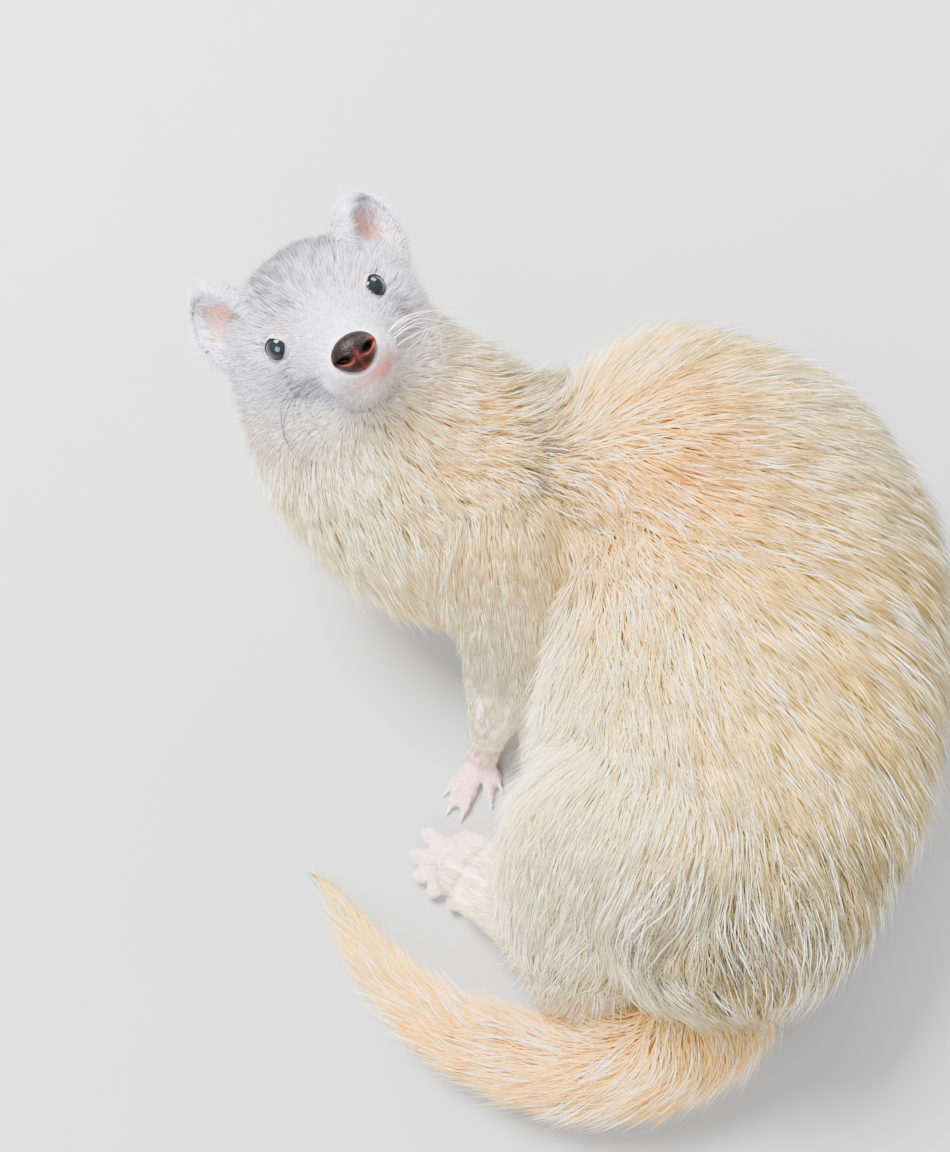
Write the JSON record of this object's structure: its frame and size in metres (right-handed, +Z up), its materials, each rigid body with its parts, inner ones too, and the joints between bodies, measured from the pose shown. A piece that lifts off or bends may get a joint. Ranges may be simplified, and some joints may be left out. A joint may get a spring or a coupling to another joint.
{
  "type": "ferret",
  "caption": "Pale long-coated ferret lying curled on its side, chest raised, head turned up, tail curled round below the haunch.",
  "frame": {"origin": "on the floor, at the middle of the footprint's box", "axes": "+Z up; the tail lies towards -Y, the nape and back towards +Y and +X, the belly and paws towards -X"},
  "size_m": [0.2152, 0.2418, 0.1251],
  "materials": {
    "body_fur": "long cream coat with apricot shading and dark guard hairs",
    "head_fur": "short white coat with grey on the crown",
    "paws": "pink skin under thin white hair",
    "nose": "dark moist leather with pink edges",
    "eyes": "wet dark eyes"
  },
  "bodies": {
    "root": {"arm_left": "body_fur", "chest": "body_fur", "ear_left": "head_fur", "ear_right": "head_fur", "eye_left": "eyes", "eye_right": "eyes", "forearm_left": "body_fur", "forearm_right": "body_fur", "forepaw_left": "paws", "forepaw_right": "paws", "head": "head_fur", "hindpaw_left": "paws", "hindpaw_right": "paws", "loin": "body_fur", "neck": "body_fur", "nose": "nose", "rump": "body_fur", "shank_left": "body_fur", "shank_right": "body_fur", "tail_middle": "body_fur", "tail_root": "body_fur", "tail_tip": "body_fur", "thigh_left": "body_fur"}
  },
  "joints": []
}
